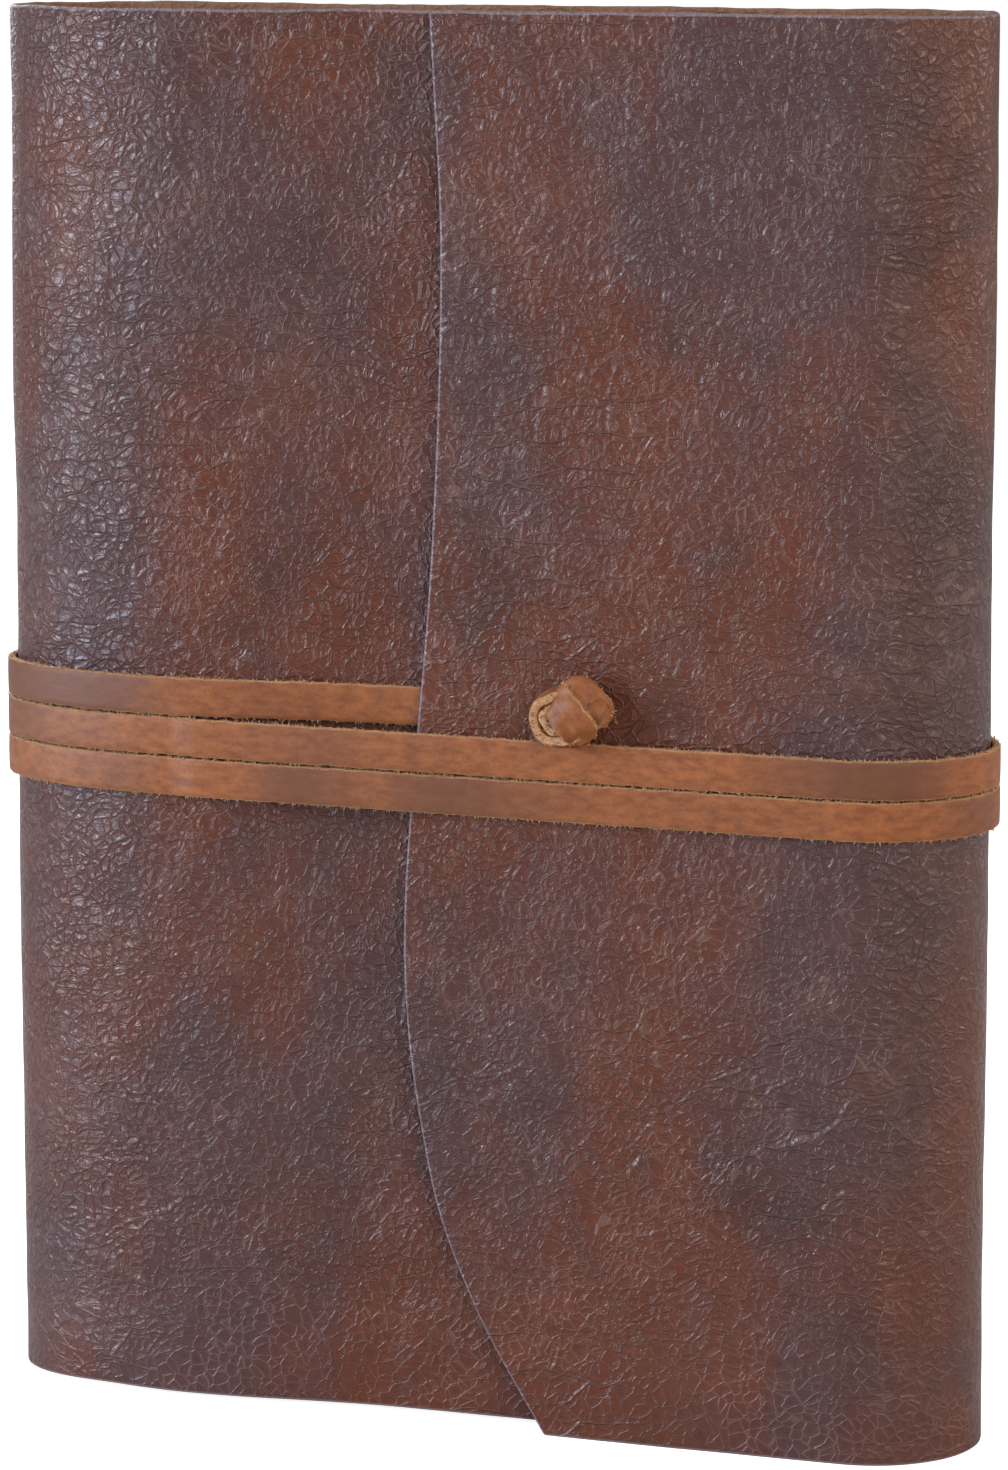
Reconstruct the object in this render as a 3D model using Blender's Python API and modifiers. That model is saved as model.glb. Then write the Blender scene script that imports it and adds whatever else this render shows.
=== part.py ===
"""Wrap-around leather notebook cover, closed and tied with a flat leather lace, with its sewn notebook.

The book stands on its bottom edge: +Z is up the spine, the front cover faces -Y and the spine is at -X.
One hide makes the back cover, the spine, the front cover, the strip round the fore-edge and the closing flap.
It is modelled as five panels that meet at the four upright fold lines where the leather bends.
"""

import math

import bmesh
import bpy
from mathutils import Vector

MM = 0.001

# Hide: overall size and thickness
HEIGHT = 220.0
HALF_WIDTH = 80.0
HALF_DEPTH = 17.5
LEATHER = 1.8
FRONT_DROP = 1.0

# Fore-edge: half round, about a centre on the mid-depth plane
EDGE_RADIUS = HALF_DEPTH
EDGE_CENTRE_X = HALF_WIDTH - EDGE_RADIUS

# Spine: a tight quarter turn behind, a long gentle one in front, about one depth line
SPINE_CENTRE_Y = 0.4
SPINE_DEPTH = HALF_DEPTH - SPINE_CENTRE_Y
SPINE_BACK_REACH = 17.0
SPINE_FRONT_REACH = 34.0
SPINE_BACK_X = SPINE_BACK_REACH - HALF_WIDTH
SPINE_FRONT_X = SPINE_FRONT_REACH - HALF_WIDTH

# Front cover: drops from the spine's swell to the level where the flap lies over it
FRONT_HIGH_Y = SPINE_CENTRE_Y - SPINE_DEPTH
FRONT_LOW_Y = -13.4
FRONT_LOW_X = -8.0
FRONT_END_X = 69.0

# Fold lines: upright lines on the hide's outer face, and the slit that keeps the panels apart there
FOLD_X = 72.0
FOLD_SLIT = 0.4

# Flap: free edge as heights and places across the front, top to bottom
FLAP_EDGE = [(-3.6, 221.0), (-1.9, 183.0), (-3.5, 136.0), (-8.0, 78.0), (-4.3, 42.4), (3.4, 20.0), (15.6, -1.0)]
LACE_HOLE_X = 20.0
LACE_HOLE_Z = 114.2
LACE_HOLE_RADIUS = 2.2

# Notebook: folded signatures between card covers that slide into the two pockets
PAGE_WIDTH = 141.0
PAGE_HEIGHT = 210.0
PAGE_SPINE_X = -70.5
BLOCK_FRONT_Y = -9.1
BLOCK_BACK_Y = 13.2
SIGNATURES = 8
TOUCH_GAP = 0.3
CARD = 0.8
CARD_X = (-62.0, 59.5)
CARD_HEIGHT = 209.0
POCKET_PANEL = 0.8
POCKET_RIM = 2.4
POCKET_X = (2.0, 62.3)
POCKET_HEIGHT = 215.0
THREAD_RADIUS = 0.3
THREAD_LENGTH = 192.0

# Lace: flat strap wound twice round the closed book
LACE_WIDTH = 5.95
LACE_THICKNESS = 1.3
LACE_STAND = TOUCH_GAP + LACE_THICKNESS / 2
LACE_LEFT_Z = (113.4, 107.1, 100.8)
LACE_RIGHT_Z = (106.3, 100.0)
LACE_START_X = 17.6
TAIL_TURN_X = -30.0
TAIL_END_X = 22.0
TAIL_SLOPE = 0.45
TAIL_TURN = 7.0
TAIL_LIFT = LACE_THICKNESS + TOUCH_GAP
LIFT_FLAT = 12.5
LIFT_RAMP = 9.0
KNOT_HALF = (6.2, 3.5, 4.4)
KNOT_NECK_RADIUS = 1.5

# The origin is the middle of the footprint, between the knot's front and the lace's raised crossings behind
ORIGIN_SHIFT_Y = (2 * KNOT_HALF[1] - TAIL_LIFT - LACE_THICKNESS) / 2

COVER_BROWN = (0.085, 0.028, 0.022)
LACE_TAN = (0.26, 0.095, 0.035)
POCKET_BROWN = (0.12, 0.050, 0.032)
PAPER_CREAM = (0.80, 0.74, 0.62)
CARD_CREAM = (0.52, 0.44, 0.33)
THREAD_LINEN = (0.70, 0.64, 0.52)


def material(name, colour, roughness):
    """A plain Principled surface of that colour."""
    made = bpy.data.materials.new(name)
    made.use_nodes = True
    shader = made.node_tree.nodes["Principled BSDF"]
    shader.inputs["Base Color"].default_value = (*colour, 1.0)
    shader.inputs["Roughness"].default_value = roughness
    shader.inputs["Metallic"].default_value = 0.0
    return made


def clear_scene():
    for thing in list(bpy.data.objects):
        bpy.data.objects.remove(thing)


def collection(name):
    made = bpy.data.collections.new(name)
    bpy.context.scene.collection.children.link(made)
    return made


def smooth_step(t):
    t = min(max(t, 0.0), 1.0)
    return t * t * (3.0 - 2.0 * t)


def new_object(name, mesh, group, surface):
    made = bpy.data.objects.new(name, mesh)
    group.objects.link(made)
    if surface is not None:
        mesh.materials.append(surface)
    return made


def arc(centre, reach, depth, start_deg, end_deg, steps):
    """Points on an ellipse in plan, from one bearing to another; 0 is +X and 90 is +Y."""
    points = []
    for i in range(steps + 1):
        a = math.radians(start_deg + (end_deg - start_deg) * i / steps)
        points.append((centre[0] + reach * math.cos(a), centre[1] + depth * math.sin(a)))
    return points


def fold_bearing(centre_x, reach):
    """How far round its quarter turn, from straight out, an end curve crosses the fold line."""
    return math.degrees(math.acos((FOLD_X - abs(centre_x)) / reach))


EDGE_BEARING = fold_bearing(EDGE_CENTRE_X, EDGE_RADIUS)
SPINE_BACK_BEARING = fold_bearing(SPINE_BACK_X, SPINE_BACK_REACH)
SPINE_FRONT_BEARING = fold_bearing(SPINE_FRONT_X, SPINE_FRONT_REACH)


def front_y(x):
    """Outer face of the front cover at x, to the right of the spine's long curve."""
    fall = smooth_step((x - SPINE_FRONT_X) / (FRONT_LOW_X - SPINE_FRONT_X))
    return FRONT_HIGH_Y + (FRONT_LOW_Y - FRONT_HIGH_Y) * fall


def trim(points, start, end):
    """Shortens a path by those distances at its two ends."""
    for length, at, inner in ((start, 0, 1), (end, -1, -2)):
        a, b = Vector(points[at]), Vector(points[inner])
        points[at] = tuple(a + (b - a).normalized() * length)
    return points


def wall(name, path, low, high, thickness, group, surface, keep_right=False):
    """An upright sheet on a plan path. Its outer face is on the path's left, or on its right."""
    mesh = bpy.data.meshes.new(name)
    bm = bmesh.new()
    foot = [bm.verts.new((x * MM, y * MM, low * MM)) for x, y in path]
    for a, b in zip(foot, foot[1:]):
        bm.edges.new((a, b))
    raised = bmesh.ops.extrude_edge_only(bm, edges=bm.edges[:])
    top = [v for v in raised["geom"] if isinstance(v, bmesh.types.BMVert)]
    bmesh.ops.translate(bm, verts=top, vec=(0, 0, (high - low) * MM))
    bmesh.ops.recalc_face_normals(bm, faces=bm.faces[:])
    bm.faces.ensure_lookup_table()
    along = Vector(path[1]) - Vector(path[0])
    outward = Vector((-along.y, along.x, 0.0)) * (-1 if keep_right else 1)
    first = min(bm.faces, key=lambda f: (f.calc_center_median() - foot[0].co).length)
    if first.normal.dot(outward) < 0:
        bmesh.ops.reverse_faces(bm, faces=bm.faces[:])
    bm.to_mesh(mesh)
    bm.free()
    made = new_object(name, mesh, group, surface)
    shell = made.modifiers.new("thickness", "SOLIDIFY")
    shell.thickness = thickness * MM
    shell.offset = -1.0
    shell.use_even_offset = True
    mesh.shade_smooth()
    mesh.set_sharp_from_angle(angle=math.radians(40))
    return made


def slab(name, low, high, group, surface):
    """A box between two corners."""
    bpy.ops.mesh.primitive_cube_add(size=1.0)
    made = bpy.context.active_object
    made.name = made.data.name = name
    made.location = [(a + b) / 2 * MM for a, b in zip(low, high)]
    made.scale = [(b - a) * MM for a, b in zip(low, high)]
    bpy.ops.object.transform_apply(location=False, rotation=False, scale=True)
    for owner in list(made.users_collection):
        owner.objects.unlink(made)
    group.objects.link(made)
    if surface is not None:
        made.data.materials.append(surface)
    return made


def mesh_from_curve(source, name, group, surface):
    """Turns a curve object into a welded mesh object in the same place, and removes the curve."""
    bpy.context.view_layer.update()
    evaluated = source.evaluated_get(bpy.context.evaluated_depsgraph_get())
    mesh = bpy.data.meshes.new_from_object(evaluated)
    mesh.name = name
    bm = bmesh.new()
    bm.from_mesh(mesh)
    bmesh.ops.remove_doubles(bm, verts=bm.verts[:], dist=1e-6)
    bm.to_mesh(mesh)
    bm.free()
    mesh.materials.clear()
    place = source.matrix_world.copy()
    bpy.data.objects.remove(source)
    made = new_object(name, mesh, group, surface)
    made.matrix_world = place
    return made


def cut(target, cutter):
    made = target.modifiers.new("cut " + cutter.name, "BOOLEAN")
    made.operation = "DIFFERENCE"
    made.object = cutter
    cutter.hide_render = True
    cutter.display_type = "WIRE"


def back_cover(group, surface):
    """The panel from the spine's rear fold, across the back, to the fore-edge's rear fold."""
    spine_end = arc((SPINE_BACK_X, SPINE_CENTRE_Y), SPINE_BACK_REACH, SPINE_DEPTH, 180 - SPINE_BACK_BEARING, 90, 6)
    edge_end = arc((EDGE_CENTRE_X, 0.0), EDGE_RADIUS, HALF_DEPTH, 90, EDGE_BEARING, 6)
    path = trim(spine_end + edge_end, FOLD_SLIT / 2, FOLD_SLIT / 2)
    return wall("back_cover", path, 0.0, HEIGHT, LEATHER, group, surface)


def spine_wrap(group, surface):
    """The rounded panel between the two spine folds."""
    behind = arc((SPINE_BACK_X, SPINE_CENTRE_Y), SPINE_BACK_REACH, SPINE_DEPTH, 180 - SPINE_BACK_BEARING, 180, 8)
    ahead = arc((SPINE_FRONT_X, SPINE_CENTRE_Y), SPINE_FRONT_REACH, SPINE_DEPTH, 180, 180 + SPINE_FRONT_BEARING, 8)
    path = trim(behind + ahead[1:], FOLD_SLIT / 2, FOLD_SLIT / 2)
    return wall("spine_wrap", path, 0.0, HEIGHT, LEATHER, group, surface, keep_right=True)


def front_cover(group, surface):
    """The panel from the spine's front fold, over its swell, to the free edge under the flap."""
    swell = arc((SPINE_FRONT_X, SPINE_CENTRE_Y), SPINE_FRONT_REACH, SPINE_DEPTH, 180 + SPINE_FRONT_BEARING, 270, 9)
    steps = 12
    fall = [SPINE_FRONT_X + (FRONT_LOW_X - SPINE_FRONT_X) * i / steps for i in range(1, steps + 1)]
    path = swell + [(x, front_y(x)) for x in fall] + [(FRONT_END_X, FRONT_LOW_Y)]
    path = trim(path, FOLD_SLIT / 2, 0.0)
    return wall("front_cover", path, FRONT_DROP, HEIGHT, LEATHER, group, surface, keep_right=True)


def fore_edge_wrap(group, surface):
    """The rounded strip between the two fore-edge folds."""
    path = trim(
        arc((EDGE_CENTRE_X, 0.0), EDGE_RADIUS, HALF_DEPTH, EDGE_BEARING, -EDGE_BEARING, 14),
        FOLD_SLIT / 2,
        FOLD_SLIT / 2,
    )
    return wall("fore_edge_wrap", path, 0.0, HEIGHT, LEATHER, group, surface)


def flap_trimmer(cutters):
    """Everything to the left of the flap's wavy free edge, as a thick plate."""
    outline = bpy.data.curves.new("flap_trimmer", "CURVE")
    outline.dimensions = "2D"
    outline.fill_mode = "BOTH"
    outline.extrude = 6.0 * MM
    outline.resolution_u = 8
    spline = outline.splines.new("BEZIER")
    far_left = -30.0
    corners = [(far_left, FLAP_EDGE[-1][1]), (far_left, FLAP_EDGE[0][1])]
    points = FLAP_EDGE + corners
    spline.bezier_points.add(len(points) - 1)
    for point, (x, z) in zip(spline.bezier_points, points):
        point.co = (x * MM, z * MM, 0.0)
        sharp = (x, z) in corners or (x, z) in (FLAP_EDGE[0], FLAP_EDGE[-1])
        point.handle_left_type = point.handle_right_type = "VECTOR" if sharp else "AUTO"
    spline.use_cyclic_u = True
    plate = bpy.data.objects.new("flap_trimmer", outline)
    cutters.objects.link(plate)
    plate.rotation_euler = (math.radians(90), 0.0, 0.0)
    plate.location = (0.0, -HALF_DEPTH * MM, 0.0)
    return mesh_from_curve(plate, "flap_trimmer", cutters, None)


def closing_flap(group, cutters, surface):
    """The panel from the fore-edge's front fold to the wavy free edge, with the hole that the lace comes through."""
    turn = arc((EDGE_CENTRE_X, 0.0), EDGE_RADIUS, HALF_DEPTH, -EDGE_BEARING, -90, 6)
    path = trim(turn + [(-14.0, -HALF_DEPTH)], FOLD_SLIT / 2, 0.0)
    flap = wall("closing_flap", path, 0.0, HEIGHT, LEATHER, group, surface)
    cut(flap, flap_trimmer(cutters))
    bpy.ops.mesh.primitive_cylinder_add(vertices=20, radius=LACE_HOLE_RADIUS * MM, depth=8.0 * MM)
    punch = bpy.context.active_object
    punch.name = punch.data.name = "lace_hole_punch"
    punch.rotation_euler = (math.radians(90), 0.0, 0.0)
    punch.location = (LACE_HOLE_X * MM, (LEATHER / 2 - HALF_DEPTH) * MM, LACE_HOLE_Z * MM)
    for owner in list(punch.users_collection):
        owner.objects.unlink(punch)
    cutters.objects.link(punch)
    cut(flap, punch)
    return flap


def signature_span(index):
    """Front and back face of one signature; the first lies against the front cover."""
    pitch = (BLOCK_BACK_Y - BLOCK_FRONT_Y) / SIGNATURES
    front = BLOCK_FRONT_Y + pitch * index
    return front, front + pitch - TOUCH_GAP


def signature(index, group, surface):
    """Folded sheets: flat leaves with a round fold at the spine."""
    name = f"signature_{index + 1}"
    front, back = signature_span(index)
    radius = (back - front) / 2
    middle = (front + back) / 2
    fold = arc((PAGE_SPINE_X + radius, middle), radius, radius, 90, 270, 8)
    right = PAGE_SPINE_X + PAGE_WIDTH
    outline = bpy.data.curves.new(name, "CURVE")
    outline.dimensions = "2D"
    outline.fill_mode = "BOTH"
    outline.extrude = PAGE_HEIGHT / 2 * MM
    spline = outline.splines.new("POLY")
    points = fold + [(right, front), (right, back)]
    spline.points.add(len(points) - 1)
    for point, (x, y) in zip(spline.points, points):
        point.co = (x * MM, y * MM, 0.0, 1.0)
    spline.use_cyclic_u = True
    made = bpy.data.objects.new(name, outline)
    group.objects.link(made)
    made.location = (0.0, 0.0, HEIGHT / 2 * MM)
    return mesh_from_curve(made, name, group, surface)


def sewing_thread(index, group, surface):
    """The long stitch that lies along the outside of one signature's fold."""
    name = f"sewing_thread_{index + 1}"
    front, back = signature_span(index)
    line = bpy.data.curves.new(name, "CURVE")
    line.dimensions = "3D"
    line.bevel_depth = THREAD_RADIUS * MM
    line.bevel_resolution = 2
    line.use_fill_caps = True
    spline = line.splines.new("POLY")
    spline.points.add(1)
    x = (PAGE_SPINE_X - TOUCH_GAP - THREAD_RADIUS) * MM
    for point, side in zip(spline.points, (-1, 1)):
        point.co = (x, (front + back) / 2 * MM, side * THREAD_LENGTH / 2 * MM, 1.0)
    made = bpy.data.objects.new(name, line)
    group.objects.link(made)
    made.location = (0.0, 0.0, HEIGHT / 2 * MM)
    return mesh_from_curve(made, name, group, surface)


def card(name, outer_y, inward, group, surface):
    """A stiff card cover of the notebook, just inside the leather at outer_y."""
    near = outer_y + inward * TOUCH_GAP
    far = near + inward * CARD
    low = (CARD_X[0], min(near, far), (HEIGHT - CARD_HEIGHT) / 2)
    high = (CARD_X[1], max(near, far), (HEIGHT + CARD_HEIGHT) / 2)
    return slab(name, low, high, group, surface)


def pocket(name, outer_y, inward, group, cutters, surface):
    """A shallow leather pocket: a panel with rims at the top, the bottom and the fore-edge, open to the spine."""
    rim_y = outer_y + inward * TOUCH_GAP
    panel_y = rim_y + inward * (CARD + TOUCH_GAP)
    inner_y = panel_y + inward * POCKET_PANEL
    bottom = (HEIGHT - POCKET_HEIGHT) / 2
    top = (HEIGHT + POCKET_HEIGHT) / 2
    body = slab(
        name, (POCKET_X[0], min(rim_y, inner_y), bottom), (POCKET_X[1], max(rim_y, inner_y), top), group, surface
    )
    beyond = rim_y - inward * 2.0
    room = slab(
        name + "_room",
        (POCKET_X[0] - 3.0, min(beyond, panel_y), bottom + POCKET_RIM),
        (POCKET_X[1] - POCKET_RIM, max(beyond, panel_y), top - POCKET_RIM),
        cutters,
        None,
    )
    cut(body, room)
    return body


def ridge(x, middle):
    """1 over a flat stretch about middle, easing to 0 on both sides."""
    return 1.0 - smooth_step((abs(x - middle) - LIFT_FLAT) / LIFT_RAMP)


def slope_z(x, left_z, right_z):
    """Height of a run that changes level along the back's flat stretch."""
    share = (x - SPINE_BACK_X) / (EDGE_CENTRE_X - SPINE_BACK_X)
    return left_z + (right_z - left_z) * share


def tail_z(x):
    """Height of the tail: level with its run, then rising across the two runs above it."""
    start = LACE_LEFT_Z[2]
    fall = (LACE_RIGHT_Z[0] - LACE_LEFT_Z[0]) / (EDGE_CENTRE_X - SPINE_BACK_X)
    past = x - TAIL_TURN_X
    rise = 0.5 * (past + math.sqrt(past * past + TAIL_TURN * TAIL_TURN))
    return start + fall * (x - SPINE_BACK_X) + (TAIL_SLOPE - fall) * rise


def crossing_x(left_z, right_z):
    """Where the tail's middle line passes under a run on the back."""
    x = TAIL_TURN_X
    while tail_z(x) < slope_z(x, left_z, right_z):
        x += 0.1
    return x


def spread(a, b, count):
    return [a + (b - a) * i / count for i in range(1, count + 1)]


def lace_route():
    """The lace's middle line as (x, y, z), from under the flap's hole to the tucked end."""
    back_y = HALF_DEPTH + LACE_STAND
    over_y = -HALF_DEPTH - LACE_STAND
    spine_y = SPINE_DEPTH + LACE_STAND
    ahead = arc((SPINE_FRONT_X, SPINE_CENTRE_Y), SPINE_FRONT_REACH + LACE_STAND, spine_y, 270, 180, 12)
    behind = arc((SPINE_BACK_X, SPINE_CENTRE_Y), SPINE_BACK_REACH + LACE_STAND, spine_y, 180, 90, 9)
    round_spine = ahead + behind[1:]
    round_edge = arc((EDGE_CENTRE_X, 0.0), EDGE_RADIUS + LACE_STAND, HALF_DEPTH + LACE_STAND, 90, -90, 16)

    route = [(LACE_START_X, front_y(LACE_START_X) - LACE_STAND, LACE_LEFT_Z[0])]
    for x in [FRONT_LOW_X] + spread(FRONT_LOW_X, SPINE_FRONT_X, 10)[:-1]:
        route.append((x, front_y(x) - LACE_STAND, LACE_LEFT_Z[0]))
    for turn in range(2):
        left_z, right_z = LACE_LEFT_Z[turn], LACE_RIGHT_Z[turn]
        next_z = LACE_LEFT_Z[turn + 1]
        route += [(x, y, left_z) for x, y in round_spine]
        middle = crossing_x(left_z, right_z)
        for x in spread(SPINE_BACK_X, EDGE_CENTRE_X, 40):
            route.append((x, back_y + TAIL_LIFT * ridge(x, middle), slope_z(x, left_z, right_z)))
        route += [(x, y, right_z) for x, y in round_edge[1:]]
        span = EDGE_CENTRE_X - SPINE_FRONT_X
        fall = (next_z - right_z) / span
        route.append((FRONT_LOW_X, over_y, right_z + fall * (EDGE_CENTRE_X - FRONT_LOW_X)))
    route += [(x, y, LACE_LEFT_Z[2]) for x, y in round_spine]
    for x in spread(SPINE_BACK_X, TAIL_END_X, 34):
        route.append((x, back_y, tail_z(x)))
    return [Vector(p) for p in route]


def wrap_lace(group, surface):
    """The whole lace as one flat strap along its wound route."""
    route = lace_route()
    bm = bmesh.new()
    lower, upper = [], []
    for i, point in enumerate(route):
        ahead = route[min(i + 1, len(route) - 1)]
        behind = route[max(i - 1, 0)]
        along = (ahead - behind).normalized()
        face = Vector((-along.y, along.x, 0.0)).normalized()
        across = along.cross(face).normalized()
        if across.z < 0:
            across.negate()
        lower.append(bm.verts.new((point - across * LACE_WIDTH / 2) * MM))
        upper.append((point + across * LACE_WIDTH / 2) * MM)
    for a, b in zip(lower, lower[1:]):
        bm.edges.new((a, b))
    raised = bmesh.ops.extrude_edge_only(bm, edges=bm.edges[:])
    fresh = [v for v in raised["geom"] if isinstance(v, bmesh.types.BMVert)]
    for old, new_place in zip(lower, upper):
        twin = next(e.other_vert(old) for e in old.link_edges if e.other_vert(old) in fresh)
        twin.co = new_place
    bmesh.ops.recalc_face_normals(bm, faces=bm.faces[:])
    mesh = bpy.data.meshes.new("wrap_lace")
    bm.to_mesh(mesh)
    bm.free()
    made = new_object("wrap_lace", mesh, group, surface)
    shell = made.modifiers.new("thickness", "SOLIDIFY")
    shell.thickness = LACE_THICKNESS * MM
    shell.offset = 0.0
    shell.use_even_offset = True
    mesh.shade_smooth()
    mesh.set_sharp_from_angle(angle=math.radians(40))
    return made


def lace_knot(group, cutters, surface):
    """The knot that stops the lace on the flap's outer face, with its neck in the hole."""
    reach_x, reach_y, reach_z = KNOT_HALF
    face_y = -HALF_DEPTH - TOUCH_GAP
    bpy.ops.mesh.primitive_uv_sphere_add(segments=20, ring_count=12, radius=1.0)
    knot = bpy.context.active_object
    knot.name = knot.data.name = "lace_knot"
    knot.location = (LACE_HOLE_X * MM, (face_y - reach_y) * MM, LACE_HOLE_Z * MM)
    knot.scale = (reach_x * MM, reach_y * MM, reach_z * MM)
    neck_end = -HALF_DEPTH + LEATHER
    neck_start = face_y - reach_y
    bpy.ops.mesh.primitive_cylinder_add(vertices=16, radius=KNOT_NECK_RADIUS * MM, depth=(neck_end - neck_start) * MM)
    neck = bpy.context.active_object
    neck.name = neck.data.name = "lace_knot_neck"
    neck.rotation_euler = (math.radians(90), 0.0, 0.0)
    neck.location = (LACE_HOLE_X * MM, (neck_start + neck_end) / 2 * MM, LACE_HOLE_Z * MM)
    for thing, owner in ((knot, group), (neck, cutters)):
        bpy.ops.object.select_all(action="DESELECT")
        thing.select_set(True)
        bpy.context.view_layer.objects.active = thing
        bpy.ops.object.transform_apply(location=False, rotation=True, scale=True)
        for old in list(thing.users_collection):
            old.objects.unlink(thing)
        owner.objects.link(thing)
    join = knot.modifiers.new("neck", "BOOLEAN")
    join.operation = "UNION"
    join.object = neck
    neck.hide_render = True
    neck.display_type = "WIRE"
    knot.data.materials.append(surface)
    knot.data.shade_smooth()
    return knot


def main():
    clear_scene()
    group = collection("leather_notebook_cover")
    cutters = collection("cutters")
    hide = material("cover_leather", COVER_BROWN, 0.42)
    strap = material("lace_leather", LACE_TAN, 0.55)
    lining = material("pocket_leather", POCKET_BROWN, 0.7)
    paper = material("paper", PAPER_CREAM, 0.9)
    board = material("card", CARD_CREAM, 0.8)
    linen = material("thread", THREAD_LINEN, 0.8)

    back_cover(group, hide)
    spine_wrap(group, hide)
    front_cover(group, hide)
    fore_edge_wrap(group, hide)
    closing_flap(group, cutters, hide)
    wrap_lace(group, strap)
    lace_knot(group, cutters, strap)
    for index in range(SIGNATURES):
        signature(index, group, paper)
        sewing_thread(index, group, linen)
    card("back_card", HALF_DEPTH - LEATHER, -1, group, board)
    card("front_card", FRONT_LOW_Y + LEATHER, 1, group, board)
    pocket("back_pocket", HALF_DEPTH - LEATHER, -1, group, cutters, lining)
    pocket("front_pocket", FRONT_LOW_Y + LEATHER, 1, group, cutters, lining)

    origin = bpy.data.objects.new("cover_origin", None)
    group.objects.link(origin)
    for thing in list(group.objects) + list(cutters.objects):
        if thing is not origin:
            thing.parent = origin
    origin.location = (0.0, ORIGIN_SHIFT_Y * MM, 0.0)
    bpy.context.view_layer.update()


main()
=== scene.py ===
"""Looks for the leather notebook cover: the hide, the lace and its knot, the paper and the studio.

Lengths here are millimetres in the book's own frame until a mesh is made: x across the front, y into the
book, z up the spine. The hide is one sheet of leather, so it is made as one grid along its outline and then
parted where the CAD bodies need it. Each leather piece carries its own flat coordinates, so the grain bends
with it. Colours are linear; noise and grain scales are per millimetre.
"""

import math
import random

import bpy
import numpy as np
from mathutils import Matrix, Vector, noise


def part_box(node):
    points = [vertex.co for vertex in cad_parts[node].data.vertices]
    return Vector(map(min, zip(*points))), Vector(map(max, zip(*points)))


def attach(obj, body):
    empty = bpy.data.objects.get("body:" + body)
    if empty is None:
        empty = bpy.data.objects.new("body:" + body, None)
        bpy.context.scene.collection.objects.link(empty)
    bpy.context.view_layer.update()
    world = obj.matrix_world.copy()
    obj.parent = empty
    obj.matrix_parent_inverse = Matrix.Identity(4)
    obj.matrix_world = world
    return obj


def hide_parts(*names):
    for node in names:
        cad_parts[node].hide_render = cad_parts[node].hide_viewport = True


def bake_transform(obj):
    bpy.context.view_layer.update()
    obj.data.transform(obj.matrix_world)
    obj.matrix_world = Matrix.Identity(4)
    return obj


MM = 0.001

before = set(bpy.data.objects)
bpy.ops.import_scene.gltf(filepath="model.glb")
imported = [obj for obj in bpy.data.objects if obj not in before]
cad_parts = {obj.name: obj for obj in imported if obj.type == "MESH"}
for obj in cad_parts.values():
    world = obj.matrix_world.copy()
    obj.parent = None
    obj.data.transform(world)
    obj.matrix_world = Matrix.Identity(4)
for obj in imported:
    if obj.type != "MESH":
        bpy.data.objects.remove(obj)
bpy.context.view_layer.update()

BACK_HIGH = Vector(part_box("back_cover")[1]) / MM
FLAP_LOW = Vector(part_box("closing_flap")[0]) / MM
FRONT_LOW, FRONT_HIGH = (Vector(corner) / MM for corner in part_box("front_cover"))

# The book, from the frame: height, half thickness, and how far the book's mid plane is from the origin
HEIGHT = BACK_HIGH.z
HALF_DEPTH = (BACK_HIGH.y - FLAP_LOW.y) / 2
SHIFT_Y = (BACK_HIGH.y + FLAP_LOW.y) / 2
LEATHER = 1.8
HALF_WIDTH = 80.0
FRONT_DROP = FRONT_LOW.z
FRONT_END_X = FRONT_HIGH.x

# Outline of the hide in plan, as in the CAD
EDGE_RADIUS = HALF_DEPTH
EDGE_CENTRE_X = HALF_WIDTH - EDGE_RADIUS
SPINE_CENTRE_Y = 0.4
SPINE_DEPTH = HALF_DEPTH - SPINE_CENTRE_Y
SPINE_BACK_REACH = 17.0
SPINE_FRONT_REACH = 34.0
SPINE_BACK_X = SPINE_BACK_REACH - HALF_WIDTH
SPINE_FRONT_X = SPINE_FRONT_REACH - HALF_WIDTH
FRONT_HIGH_Y = SPINE_CENTRE_Y - SPINE_DEPTH
FRONT_LOW_Y = -13.4
FRONT_LOW_X = -8.0
FLAP_EDGE = [
    (-3.6, 221.0), (-1.9, 183.0), (-3.5, 136.0), (-8.0, 78.0), (-4.3, 42.4), (3.4, 20.0), (15.6, -1.0)
]
FLAP_LOOSE_X = 45.0

# Hide mesh: its spacing, the rounding of a cut edge as (in from the edge, down from the face), and how much
# its faces and its top edge waver, each as (amount, size of a bump)
HIDE_STEP = 1.25
ROUNDING = ((0.0, 0.65), (0.05, 0.30), (0.20, 0.09), (0.55, 0.0))
SWELL_BROAD = (0.28, 34.0)
SWELL_FINE = (0.10, 9.0)
TOP_WAVE_BROAD = (0.22, 16.0)
TOP_WAVE_FINE = (0.12, 3.0)
TOP_WAVE_REACH = 12.0
TOP_SETTLE = 0.15
FRONT_DROP_REACH = 22.0
FRONT_SHARE = 0.42

# Lace, as in the CAD
LACE_WIDTH = 5.95
LACE_THICKNESS = 1.3
LACE_STAND = 0.3 + LACE_THICKNESS / 2
LACE_LEFT_Z = (113.4, 107.1, 100.8)
LACE_RIGHT_Z = (106.3, 100.0)
LACE_START_X = 17.6
LACE_HOLE_X = 20.0
LACE_HOLE_Z = 114.2
TAIL_TURN_X = -30.0
TAIL_END_X = 22.0
TAIL_SLOPE = 0.45
TAIL_TURN = 7.0
TAIL_LIFT = LACE_THICKNESS + 0.3
LIFT_FLAT = 12.5
LIFT_RAMP = 9.0
LACE_STEP = 1.1

# A strap's section: how far its corners are rounded, the middle of that rounding, and the crown of its face
CORNER_RADIUS = 0.32
CORNER_BEVEL = 0.09
CROWN = 0.05

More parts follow.
